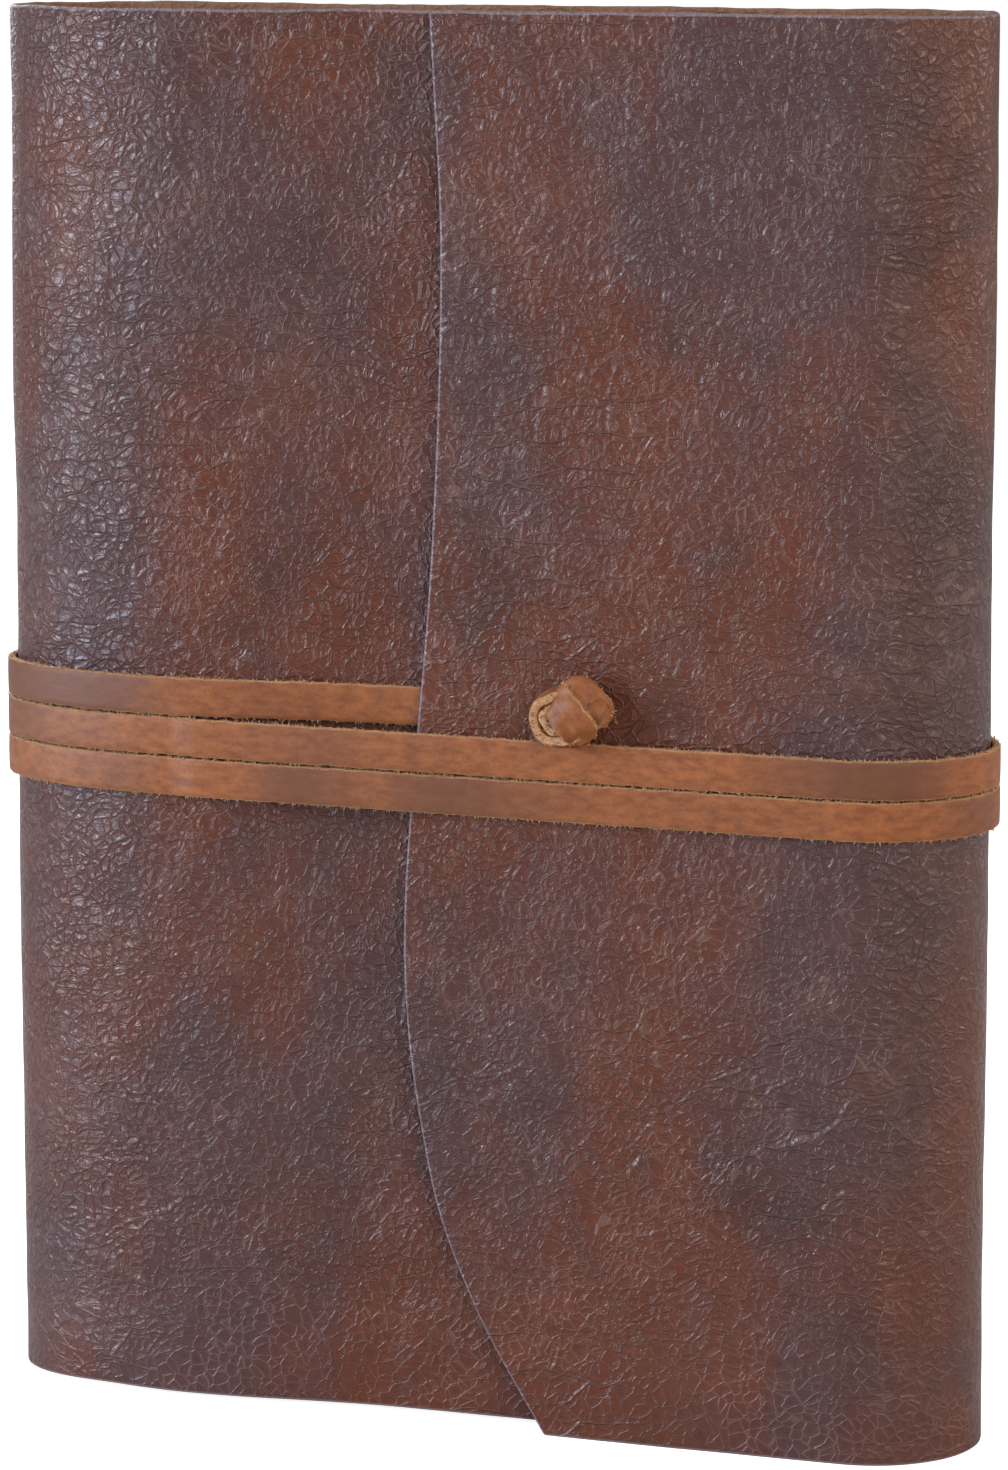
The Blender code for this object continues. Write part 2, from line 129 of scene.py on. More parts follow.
# Camera: distance from the point that it looks at, turn to the right of square-on, and tilt down
CAMERA_LOOK_AT = (2.33, 0.0, 107.16)
CAMERA_DISTANCE = 875.0
CAMERA_TURN = 19.56
CAMERA_TILT = 9.05
CAMERA_LENS = 137.1

# Studio: how much of the white backdrop's brightness falls on the book as even light, the floor's side in
# metres and its own glow, and the point, in metres, that the lights look at
SKY_LIGHT = 0.25
FLOOR_SIZE = 60.0
FLOOR_GLOW = 0.88
BOOK_MIDDLE = (0.0, 0.0, 0.11)


def smooth_step(t):
    t = np.clip(t, 0.0, 1.0)
    return t * t * (3.0 - 2.0 * t)


def place(points):
    """Book millimetres to frame metres."""
    moved = np.array(points, float)
    moved[:, 1] += SHIFT_Y
    return moved * MM


def wobble(x, y, z, scale):
    """Smooth noise from -1 to 1 at points given as arrays; scale is the size of a bump in mm."""
    flat = np.stack([np.ravel(a) for a in np.broadcast_arrays(x, y, z)], axis=1) / scale
    values = np.array([noise.noise(Vector(p)) for p in flat])
    return values.reshape(np.broadcast(x, y, z).shape)


def arc(centre, reach, depth, start_deg, end_deg, steps):
    """Points on an ellipse in plan, from one bearing to another; 0 is +X and 90 is +Y."""
    a = np.radians(np.linspace(start_deg, end_deg, steps + 1))
    return np.stack([centre[0] + reach * np.cos(a), centre[1] + depth * np.sin(a)], axis=1)


def front_y(x):
    """Outer face of the front cover at x, to the right of the spine's long curve."""
    fall = smooth_step((x - SPINE_FRONT_X) / (FRONT_LOW_X - SPINE_FRONT_X))
    return FRONT_HIGH_Y + (FRONT_LOW_Y - FRONT_HIGH_Y) * fall


def along(path):
    """Distance from the start at each point of a path."""
    return np.concatenate([[0.0], np.cumsum(np.linalg.norm(np.diff(path, axis=0), axis=1))])


def resample(path, count):
    """The path with that many points, evenly spaced."""
    at = along(path)
    wanted = np.linspace(0.0, at[-1], count)
    return np.stack([np.interp(wanted, at, path[:, k]) for k in range(path.shape[1])], axis=1)


def smooth_curve(points, per_span):
    """A curve through the points, as a Catmull-Rom spline."""
    p = np.array(points, float)
    p = np.vstack([2 * p[0] - p[1], p, 2 * p[-1] - p[-2]])
    t = np.linspace(0.0, 1.0, per_span, endpoint=False)[:, None]
    spans = []
    for a, b, c, d in zip(p, p[1:], p[2:], p[3:]):
        bend = 2 * a - 5 * b + 4 * c - d
        twist = 3 * b - a - 3 * c + d
        spans.append(0.5 * (2 * b + (c - a) * t + bend * t**2 + twist * t**3))
    return np.vstack(spans + [p[-2][None, :]])


# ---------------------------------------------------------------- materials


def node(tree, kind, inputs=None, **settings):
    """A shader node with its settings, and its inputs given as values or as other nodes' outputs."""
    made = tree.nodes.new("ShaderNode" + kind)
    for key, value in settings.items():
        setattr(made, key, value)
    for key, value in (inputs or {}).items():
        if isinstance(value, bpy.types.NodeSocket):
            tree.links.new(value, made.inputs[key])
        else:
            made.inputs[key].default_value = value
    return made


def maths(tree, operation, a, b=0.0, c=0.0):
    return node(tree, "Math", {0: a, 1: b, 2: c}, operation=operation).outputs[0]


def scaled(tree, value, factor):
    return maths(tree, "MULTIPLY", value, factor)


def rest_of(tree, whole, value):
    return maths(tree, "SUBTRACT", whole, value)


def add_up(tree, *terms):
    total = terms[0]
    for term in terms[1:]:
        total = maths(tree, "ADD", total, term)
    return total


def remap(tree, value, low, high, to_low=0.0, to_high=1.0):
    """A smooth ramp between two values."""
    inputs = {"Value": value, "From Min": low, "From Max": high, "To Min": to_low, "To Max": to_high}
    return node(tree, "MapRange", inputs, interpolation_type="SMOOTHSTEP").outputs[0]


def blend_colour(tree, share, a, b):
    """Colour a, going over to colour b by the share."""
    made = tree.nodes.new("ShaderNodeMix")
    made.data_type = "RGBA"
    for socket, value in ((made.inputs[0], share), (made.inputs[6], a), (made.inputs[7], b)):
        if isinstance(value, bpy.types.NodeSocket):
            tree.links.new(value, socket)
        elif isinstance(value, tuple):
            socket.default_value = (*value, 1.0)
        else:
            socket.default_value = value
    return made.outputs[2]


def noise_at(tree, where, scale, detail=2.0, roughness=0.5, stretch=None):
    """Noise from 0 to 1 on coordinates in mm; scale is per mm."""
    if stretch is not None:
        where = node(tree, "VectorMath", {0: where, 1: stretch}, operation="MULTIPLY").outputs[0]
    inputs = {"Vector": where, "Scale": scale, "Detail": detail, "Roughness": roughness}
    return node(tree, "TexNoise", inputs).outputs["Fac"]


def cells_at(tree, where, scale, stretch):
    """How far a point is from the lines between the pebbles of the grain, as a share of a pebble."""
    where = node(tree, "VectorMath", {0: where, 1: stretch}, operation="MULTIPLY").outputs[0]
    cells = node(tree, "TexVoronoi", {"Vector": where, "Scale": scale}, feature="DISTANCE_TO_EDGE")
    return cells.outputs["Distance"]


def start_material(name):
    made = bpy.data.materials.new(name)
    made.use_nodes = True
    tree = made.node_tree
    return made, tree, tree.nodes["Principled BSDF"]


def coordinates(tree, attribute):
    return node(tree, "Attribute", attribute_name=attribute, attribute_type="GEOMETRY").outputs["Vector"]


def warped(tree, where, scale, reach):
    """The coordinates pushed about by noise, so that no line runs straight."""
    shift = node(tree, "TexNoise", {"Vector": where, "Scale": scale, "Detail": 2.0}).outputs["Color"]
    shift = node(tree, "VectorMath", {0: shift, 1: (0.5, 0.5, 0.5)}, operation="SUBTRACT").outputs[0]
    shift = node(tree, "VectorMath", {0: shift, 1: (reach, reach, reach)}, operation="MULTIPLY").outputs[0]
    return node(tree, "VectorMath", {0: where, 1: shift}, operation="ADD").outputs[0]


# Hide colours
HIDE_RED = (0.084, 0.0195, 0.0072)
HIDE_GREY = (0.056, 0.023, 0.022)
HIDE_DARK = (0.030, 0.012, 0.011)
HIDE_WARM = (0.105, 0.034, 0.017)
# Pale grain lines: partly pull-up lightening, partly painted highlight on the grooves' edges
PULLUP_AND_HIGHLIGHT_LINE = (0.150, 0.082, 0.066)
# Painted shade in the grain's grooves
GROOVE_PAINTED_SHADE = (0.020, 0.010, 0.009)
CREASE_LINE = (0.120, 0.070, 0.060)
# Painted highlight: a pale lilac band on the rounded arris of the cut edges
ARRIS_PAINTED_HIGHLIGHT = (0.165, 0.122, 0.135)
RAW_EDGE = ((0.085, 0.040, 0.028), (0.22, 0.125, 0.085))
FLESH_SIDE = ((0.105, 0.048, 0.030), (0.19, 0.095, 0.058))


def hide_grain(tree, flat):
    """The patterns in the hide's face by name: most are 1 on raised leather and 0 in a line."""
    bent = warped(tree, flat, 0.11, 5.0)
    fine = warped(tree, bent, 0.9, 0.35)
    cells = cells_at(tree, fine, 0.60, (0.85, 1.0, 0.3))
    small_cells = cells_at(tree, fine, 1.25, (0.9, 1.0, 0.3))
    long_cells = cells_at(tree, bent, 0.22, (0.28, 1.0, 0.2))
    return {
        "pebbles": remap(tree, cells, 0.0, 0.075),
        "domes": remap(tree, cells, 0.0, 0.42),
        "crumbs": remap(tree, small_cells, 0.0, 0.12),
        "creases": remap(tree, long_cells, 0.0, 0.035),
        "creased": remap(tree, noise_at(tree, flat, 0.028, 1.0), 0.44, 0.68, 0.08, 0.85),
        "mottle": noise_at(tree, fine, 0.9, 3.0, 0.65),
    }


def hide_face_colour(tree, flat, grain):
    """Clouds of red, grey and dark brown, with darker pebble tops; pale lines, partly pull-up lightening of
    stretched leather and partly painted highlight on the grooves' edges; and painted shade in the grooves.
    """
    cloud = noise_at(tree, flat, 0.021, 3.0, 0.55, (1.0, 0.62, 1.0))
    patches = noise_at(tree, warped(tree, flat, 0.02, 30.0), 0.034, 3.0, 0.6)
    colour = blend_colour(tree, remap(tree, cloud, 0.40, 0.60), HIDE_GREY, HIDE_RED)
    colour = blend_colour(tree, remap(tree, patches, 0.52, 0.74, 0.0, 0.55), colour, HIDE_DARK)
    colour = blend_colour(tree, remap(tree, patches, 0.46, 0.30, 0.0, 0.40), colour, HIDE_WARM)
    tops = scaled(tree, grain["domes"], remap(tree, grain["mottle"], 0.40, 0.66, 0.0, 0.60))
    colour = blend_colour(tree, tops, colour, HIDE_DARK)

    # Pale lines in the grooves: partly pull-up lightening where the leather is stretched, partly painted
    # highlight where light catches the groove edges.
    pale_line_mask = remap(tree, noise_at(tree, flat, 0.05, 1.0), 0.40, 0.62, 0.14, 0.44)
    pullup_and_highlight_lines = scaled(tree, rest_of(tree, 1.0, grain["pebbles"]), pale_line_mask)
    colour = blend_colour(tree, pullup_and_highlight_lines, colour, PULLUP_AND_HIGHLIGHT_LINE)
    raised = scaled(tree, grain["pebbles"], remap(tree, grain["crumbs"], 0.0, 1.0, 0.6, 1.0))
    # Painted shade: the grooves between the pebbles and crumbs are darkened, less so where the pale lines
    # are.
    groove_shade_share = scaled(tree, rest_of(tree, 1.0, raised), rest_of(tree, 0.58, pale_line_mask))
    colour = blend_colour(tree, groove_shade_share, colour, GROOVE_PAINTED_SHADE)
    long_lines = scaled(tree, rest_of(tree, 1.0, grain["creases"]), scaled(tree, grain["creased"], 0.30))
    return blend_colour(tree, long_lines, colour, CREASE_LINE)


def hide_height(tree, flat, grain):
    """Height of the face: pebbles that flatten out near the bottom, creases, and slow undulation."""
    pores = noise_at(tree, flat, 3.2, 2.0, 0.6)
    undulation = noise_at(tree, flat, 0.10, 2.0)
    up = node(tree, "SeparateXYZ", {0: flat}).outputs[1]
    pebbled = add_up(
        tree,
        scaled(tree, grain["pebbles"], 0.42),
        scaled(tree, grain["domes"], 0.45),
        scaled(tree, grain["crumbs"], 0.14),
        scaled(tree, pores, 0.06),
    )
    pebbled = scaled(tree, pebbled, remap(tree, up, 2.0, 26.0, 0.45, 1.0))
    sunk = maths(tree, "SUBTRACT", grain["creases"], 1.0)
    sunk = scaled(tree, sunk, scaled(tree, grain["creased"], 0.9))
    return add_up(tree, pebbled, sunk, scaled(tree, undulation, 3.4))


def hide_material():
    """Waxed brown hide. Its third coordinate is depth in the leather: face, cut edge, then flesh side."""
    made, tree, shader = start_material("waxed_hide")
    flat = coordinates(tree, "hide")
    grain = hide_grain(tree, flat)

    depth = node(tree, "SeparateXYZ", {0: flat}).outputs[2]
    # Painted highlight on the rounded arris, where the face turns into the cut edge
    arris_highlight_share = remap(tree, depth, 0.01, 0.06, 0.0, 0.75)
    cut = remap(tree, depth, 0.25, 0.55)
    flesh = remap(tree, depth, 1.35, 1.7)
    raw = blend_colour(tree, noise_at(tree, flat, 2.2, 4.0, 0.7), *RAW_EDGE)
    suede = blend_colour(tree, noise_at(tree, flat, 0.9, 5.0, 0.7), *FLESH_SIDE)
    colour = blend_colour(tree, arris_highlight_share, hide_face_colour(tree, flat, grain), ARRIS_PAINTED_HIGHLIGHT)
    colour = blend_colour(tree, cut, colour, raw)
    colour = blend_colour(tree, flesh, colour, suede)
    tree.links.new(colour, shader.inputs["Base Color"])

    rough = add_up(tree, remap(tree, grain["mottle"], 0.3, 0.7, 0.34, 0.46), scaled(tree, cut, 0.35))
    rough = rest_of(tree, rough, scaled(tree, grain["pebbles"], 0.05))
    tree.links.new(rough, shader.inputs["Roughness"])
    shader.inputs["Specular IOR Level"].default_value = 0.30
    height = hide_height(tree, flat, grain)
    bump = node(tree, "Bump", {"Strength": 1.0, "Distance": 0.00027, "Height": height})
    tree.links.new(bump.outputs[0], shader.inputs["Normal"])
    return made


# Lace colours
LACE_FACE = ((0.130, 0.037, 0.010), (0.245, 0.079, 0.022))
LACE_HANDLED = (0.082, 0.029, 0.015)
LACE_SPECKLE = (0.100, 0.036, 0.015)
LACE_EDGE = ((0.24, 0.115, 0.050), (0.46, 0.27, 0.135))
LACE_FIBRE = ((0.26, 0.13, 0.06), (0.52, 0.32, 0.17))


def lace_material():
    """Tan lace: a smooth face with darker handled stretches, and pale fuzzy cut edges."""
    made, tree, shader = start_material("tan_lace")
    flat = coordinates(tree, "strap")
    across = node(tree, "SeparateXYZ", {0: flat}).outputs[1]
    streaks = noise_at(tree, flat, 1.4, 4.0, 0.6, (0.25, 1.6, 1.0))
    handled = noise_at(tree, flat, 0.018, 2.0, 0.5, (1.0, 0.2, 0.2))
    speckle = noise_at(tree, flat, 4.5, 2.0, 0.6)
    colour = blend_colour(tree, remap(tree, streaks, 0.25, 0.75), *LACE_FACE)
    colour = blend_colour(tree, remap(tree, handled, 0.45, 0.62, 0.0, 0.80), colour, LACE_HANDLED)
    colour = blend_colour(tree, remap(tree, speckle, 0.45, 0.70, 0.0, 0.40), colour, LACE_SPECKLE)
    edge = remap(tree, maths(tree, "ABSOLUTE", across), 0.90, 1.0)
    edge = scaled(tree, edge, remap(tree, speckle, 0.35, 0.60, 0.35, 1.0))
    colour = blend_colour(tree, edge, colour, blend_colour(tree, speckle, *LACE_EDGE))
    tree.links.new(colour, shader.inputs["Base Color"])
    tree.links.new(add_up(tree, scaled(tree, edge, 0.3), 0.52), shader.inputs["Roughness"])
    shader.inputs["Specular IOR Level"].default_value = 0.25
    height = add_up(tree, scaled(tree, streaks, 0.5), scaled(tree, speckle, 0.5))
    bump = node(tree, "Bump", {"Strength": 0.8, "Distance": 0.00015, "Height": height})
    tree.links.new(bump.outputs[0], shader.inputs["Normal"])
    return made


def fibre_material():
    """Loose fibres on the lace's cut edges."""
    made, tree, shader = start_material("lace_fibre")
    shade = noise_at(tree, coordinates(tree, "strap"), 0.8, 2.0)
    colour = blend_colour(tree, shade, *LACE_FIBRE)
    tree.links.new(colour, shader.inputs["Base Color"])
    shader.inputs["Roughness"].default_value = 0.9
    return made


# Light and shaded colours of the plain materials
PAPER = ((0.56, 0.49, 0.37), (0.45, 0.38, 0.27))
CARD = ((0.50, 0.38, 0.25), (0.36, 0.25, 0.15))
POCKET = ((0.17, 0.085, 0.052), (0.09, 0.042, 0.026))
THREAD = ((0.72, 0.64, 0.48), (0.50, 0.42, 0.30))


def plain_fibrous(name, light, shadow, scale, stretch, roughness, distance):
    """A matte fibrous surface such as paper, card, suede or thread, on the mesh's own rest coordinates."""
    made, tree, shader = start_material(name)
    rest = coordinates(tree, "rest")
    fibre = noise_at(tree, rest, scale, 4.0, 0.65, stretch)
    cloud = noise_at(tree, rest, scale * 0.04, 2.0)
    colour = blend_colour(tree, remap(tree, fibre, 0.3, 0.75), light, shadow)
    colour = blend_colour(tree, remap(tree, cloud, 0.4, 0.8, 0.0, 0.3), colour, shadow)
    tree.links.new(colour, shader.inputs["Base Color"])
    shader.inputs["Roughness"].default_value = roughness
    bump = node(tree, "Bump", {"Strength": 0.7, "Distance": distance, "Height": fibre})
    tree.links.new(bump.outputs[0], shader.inputs["Normal"])
    return made


# ---------------------------------------------------------------- meshes


def make_object(name, vertices, faces, material, attributes):
    """A smooth mesh object from frame metres, with point attributes for its material."""
    mesh = bpy.data.meshes.new(name)
    mesh.from_pydata([tuple(v) for v in vertices], [], faces)
    for key, values in attributes.items():
        layer = mesh.attributes.new(key, "FLOAT_VECTOR", "POINT")
        layer.data.foreach_set("vector", np.asarray(values, np.float32).ravel())
    mesh.shade_smooth()
    made = bpy.data.objects.new(name, mesh)
    bpy.context.scene.collection.objects.link(made)
    mesh.materials.append(material)
    return made


def store_rest(thing):
    """Keeps each point's place at rest, in mm, for the materials."""
    mesh = thing.data
    places = np.array([v.co for v in mesh.vertices]) / MM
    layer = mesh.attributes.new("rest", "FLOAT_VECTOR", "POINT")
    layer.data.foreach_set("vector", places.astype(np.float32).ravel())


def hide_outline():
    """Outer face of the hide in plan, from the front cover's free edge round to the flap's wavy stretch."""
    falling = np.linspace(FRONT_LOW_X, SPINE_FRONT_X, 32)
    parts = [
        np.array([(FRONT_END_X, FRONT_LOW_Y)]),
        np.stack([falling, front_y(falling)], axis=1),
        arc((SPINE_FRONT_X, SPINE_CENTRE_Y), SPINE_FRONT_REACH, SPINE_DEPTH, 270, 180, 60)[1:],
        arc((SPINE_BACK_X, SPINE_CENTRE_Y), SPINE_BACK_REACH, SPINE_DEPTH, 180, 90, 40)[1:],
        arc((EDGE_CENTRE_X, 0.0), EDGE_RADIUS, HALF_DEPTH, 90, -90, 80),
        np.array([(FLAP_LOOSE_X, -HALF_DEPTH)]),
    ]
    return np.vstack(parts)


def flap_edge_x(z):
    """Where the flap's free edge is at each height."""
    curve = smooth_curve(FLAP_EDGE[::-1], 12)
    return np.interp(z, curve[:, 1], curve[:, 0])


def loop_profile():
    """Height and depth in the leather round a section of the hide: up outside, then down inside."""
    ease = np.array(ROUNDING)
    rows = int((HEIGHT - 2 * ease[-1, 0]) / HIDE_STEP)
    middle = np.linspace(ease[-1, 0], HEIGHT - ease[-1, 0], rows)[1:-1]
    low = [(inset, depth) for inset, depth in ROUNDING]
    high = [(HEIGHT - inset, depth) for inset, depth in ROUNDING[::-1]]
    half = np.array(low + [(z, 0.0) for z in middle] + high)
    mirror = half[::-1].copy()
    mirror[:, 1] = LEATHER - mirror[:, 1]
    return np.vstack([half, mirror])


def hide_grid():
    """Points of the whole hide as columns of loops, with the flat coordinates of each point."""
    path = hide_outline()
    length = along(path)[-1]
    path = resample(path, int(length / HIDE_STEP) + 1)
    profile = loop_profile()
    z, depth = profile[:, 0], profile[:, 1]

    tangent = np.gradient(path, axis=0)
    tangent /= np.linalg.norm(tangent, axis=1)[:, None]
    outward = np.stack([-tangent[:, 1], tangent[:, 0]], axis=1)
    at = along(path)

    loose = flap_edge_x(z)
    steps = int((FLAP_LOOSE_X + 2.0) / HIDE_STEP)
    shares = np.linspace(0.0, 1.0, steps + 1)[1:-1]

    # Each column: x, y, the outward direction, distance along the hide, and how far the rounding thins it
    level = np.ones_like(z)
    columns = []
    for inset, thinning in ROUNDING:
        x, y = path[0]
        columns.append((x * level - inset, y * level, outward[0], at[0] * level + inset, thinning))
    for point, normal, s in zip(path[1:], outward[1:], at[1:]):
        columns.append((point[0] * level, point[1] * level, normal, s * level, 0.0))
    flap = [(FLAP_LOOSE_X + (loose - FLAP_LOOSE_X) * share, 0.0) for share in shares]
    flap += [(loose + inset, thinning) for inset, thinning in ROUNDING[::-1]]
    for x, thinning in flap:
        columns.append((x, -HALF_DEPTH * level, outward[-1], at[-1] + FLAP_LOOSE_X - x, thinning))

    grid, flat = [], []
    for x, y, normal, s, thinning in columns:
        d = thinning + (LEATHER - 2 * thinning) * depth / LEATHER
        on_front = smooth_step((x - (1.0 - HALF_WIDTH)) / FRONT_DROP_REACH)
        on_front = on_front * (s < at[-1] * FRONT_SHARE) * (y < SPINE_CENTRE_Y)
        rise = FRONT_DROP * on_front * (1.0 - z / HEIGHT)
        grid.append(np.stack([x - normal[0] * d, y - normal[1] * d, z + rise], axis=1))
        flat.append(np.stack([s, z, np.maximum(d, 0.0)], axis=1))
    grid, flat = np.array(grid), np.array(flat)
    return waver(grid, flat, np.array([column[2] for column in columns])), flat


def waver(grid, flat, normals):
    """The grid with the slight swells of its faces, and with a top edge cut by hand."""
    s, z = flat[:, :, 0], flat[:, :, 1]
    swell = SWELL_BROAD[0] * wobble(s, z, 7.0, SWELL_BROAD[1])
    swell += SWELL_FINE[0] * wobble(s, z, 3.0, SWELL_FINE[1])
    grid[:, :, 0] += normals[:, None, 0] * swell
    grid[:, :, 1] += normals[:, None, 1] * swell
    wave = TOP_WAVE_BROAD[0] * wobble(s, 0.0, 11.0, TOP_WAVE_BROAD[1])
    wave += TOP_WAVE_FINE[0] * wobble(s, 0.0, 5.0, TOP_WAVE_FINE[1])
    near_top = smooth_step((z - HEIGHT + TOP_WAVE_REACH) / TOP_WAVE_REACH)
    grid[:, :, 2] += (wave - TOP_SETTLE) * near_top
    return grid


def hide_piece(name, grid, flat, normals, first, last, material):
    """The stretch of the hide between two columns, closed at both ends."""
    part, coords = grid[first : last + 1], flat[first : last + 1]
    columns, ring = part.shape[:2]
    faces = []
    for i in range(columns - 1):
        a, b = i * ring, (i + 1) * ring
        for j in range(ring):
            k = (j + 1) % ring
            faces.append((a + j, b + j, b + k, a + k))
    end = (columns - 1) * ring
    for j in range(ring // 2 - 1):
        faces.append((j, j + 1, ring - 2 - j, ring - 1 - j))
        faces.append((end + j, end + ring - 1 - j, end + ring - 2 - j, end + j + 1))
    made = make_object(name, place(part.reshape(-1, 3)), faces, material, {"hide": coords.reshape(-1, 3)})
    facing = normals[first : last + 1].reshape(-1, 3)
    made.data.normals_split_custom_set_from_vertices([tuple(n) for n in facing])
    return made


def grid_normals(grid):
    """Normals of the grid of loops. They point into the leather, on the same side as the pieces' faces."""
    ahead = np.gradient(grid, axis=0)
    around = np.roll(grid, -1, axis=1) - np.roll(grid, 1, axis=1)
    normals = np.cross(ahead, around)
    length = np.linalg.norm(normals, axis=2, keepdims=True)
    return normals / np.maximum(length, 1e-9)


def make_hide(material):
    """Four pieces of one hide, each spanning one fold of the frame."""
    grid, flat = hide_grid()
    normals = grid_normals(grid)
    middle = grid[:, grid.shape[1] // 4, :]
    spine = int(np.argmin(middle[:, 0]))
    fore_edge = int(np.argmax(middle[:, 0] - 1000.0 * (np.arange(len(middle)) < spine)))
    behind = spine + int(np.argmin(np.abs(middle[spine:fore_edge, 0])))
    side, face, last_column = HALF_WIDTH, HALF_DEPTH, len(grid) - 1

    # Name, first and last column, the two bodies, where the bend between them starts and ends, CAD nodes
    plan = (
        ("hide_front", 0, spine, "spine", "front", (-side, -1.0), (-62.0, -14.5), ["front_cover"]),
        ("hide_spine_back", spine, behind, "back", "spine", (-58.0, face), (-side, 3.0),
         ["spine_wrap", "back_cover"]),
        ("hide_back_fore_edge", behind, fore_edge, "back", "fore_edge", (58.0, face), (side, 2.0),
         ["fore_edge_wrap"]),
        ("hide_flap", fore_edge, last_column, "fore_edge", "flap", (side, -2.0), (58.0, -face),
         ["closing_flap"]),
    )
    for name, first, last, body_a, body_b, start, end, nodes in plan:
        piece = hide_piece(name, grid, flat, normals, first, last, material)
        ends = [place([(x, y, HEIGHT / 2)])[0] for x, y in (start, end)]
        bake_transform(piece)
        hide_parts(*nodes)


def slope_z(x, left_z, right_z):
    """Height of a run that changes level along the back's flat stretch."""
    share = (x - SPINE_BACK_X) / (EDGE_CENTRE_X - SPINE_BACK_X)
    return left_z + (right_z - left_z) * share


def tail_z(x):
    """Height of the tail: level with its run, then rising under the two runs above it."""
    fall = (LACE_RIGHT_Z[0] - LACE_LEFT_Z[0]) / (EDGE_CENTRE_X - SPINE_BACK_X)
    past = x - TAIL_TURN_X
    rise = 0.5 * (past + math.sqrt(past * past + TAIL_TURN * TAIL_TURN))
    return LACE_LEFT_Z[2] + fall * (x - SPINE_BACK_X) + (TAIL_SLOPE - fall) * rise


def crossing_x(left_z, right_z):
    x = TAIL_TURN_X
    while tail_z(x) < slope_z(x, left_z, right_z):
        x += 0.1
    return x


def ridge(x, middle):
    return 1.0 - smooth_step((abs(x - middle) - LIFT_FLAT) / LIFT_RAMP)


def lace_route():
    """The lace's middle line as in the CAD, from under the flap's hole to the tucked end."""
    back_y = HALF_DEPTH + LACE_STAND
    over_y = -HALF_DEPTH - LACE_STAND
    spine_y = SPINE_DEPTH + LACE_STAND
    ahead = arc((SPINE_FRONT_X, SPINE_CENTRE_Y), SPINE_FRONT_REACH + LACE_STAND, spine_y, 270, 180, 24)
    behind = arc((SPINE_BACK_X, SPINE_CENTRE_Y), SPINE_BACK_REACH + LACE_STAND, spine_y, 180, 90, 18)
    round_spine = np.vstack([ahead, behind[1:]])
    round_edge = arc((EDGE_CENTRE_X, 0.0), EDGE_RADIUS + LACE_STAND, HALF_DEPTH + LACE_STAND, 90, -90, 32)

    route = [(LACE_START_X, front_y(LACE_START_X) - LACE_STAND, LACE_LEFT_Z[0])]
    for x in np.linspace(FRONT_LOW_X, SPINE_FRONT_X, 16)[:-1]:
        route.append((x, front_y(x) - LACE_STAND, LACE_LEFT_Z[0]))
    for turn in range(2):
        left_z, right_z = LACE_LEFT_Z[turn], LACE_RIGHT_Z[turn]
        route += [(x, y, left_z) for x, y in round_spine]
        middle = crossing_x(left_z, right_z)
        for x in np.linspace(SPINE_BACK_X, EDGE_CENTRE_X, 61)[1:]:
            route.append((x, back_y + TAIL_LIFT * ridge(x, middle), slope_z(x, left_z, right_z)))
        route += [(x, y, right_z) for x, y in round_edge[1:]]
        for x in np.linspace(EDGE_CENTRE_X, SPINE_FRONT_X, 30)[1:-1]:
            share = (EDGE_CENTRE_X - x) / (EDGE_CENTRE_X - SPINE_FRONT_X)
            route.append((x, over_y, right_z + (LACE_LEFT_Z[turn + 1] - right_z) * share))
    route += [(x, y, LACE_LEFT_Z[2]) for x, y in round_spine]
    for x in np.linspace(SPINE_BACK_X, TAIL_END_X, 50)[1:]:
        route.append((x, back_y, tail_z(x)))
    return np.array(route)


def strap_frames(path, outward):
    """Tangent, face normal and across direction at each point of a strap's middle line."""
    tangent = np.gradient(path, axis=0)
    tangent /= np.linalg.norm(tangent, axis=1)[:, None]
    across = np.cross(tangent, outward)
    across /= np.linalg.norm(across, axis=1)[:, None]
    face = np.cross(across, tangent)
    return tangent, face, across


def strap_section(width, thickness):
    """Rounded flat section as (across, out) points, with a slightly crowned face."""
    half, thick, r = width / 2, thickness / 2, CORNER_RADIUS
    bevel = CORNER_BEVEL
    top = [(x, thick + CROWN * (1 - (x / half) ** 2)) for x in np.linspace(-half + r, half - r, 9)]
    right = [(half - bevel, thick - bevel), (half, thick - r)]
    right += [(half, r - thick), (half - bevel, bevel - thick)]
    bottom = [(x, -thick) for x in np.linspace(half - r, -half + r, 7)]
    left = [(-x, y) for x, y in right[::-1]]
    return np.array(top + right + bottom + left)


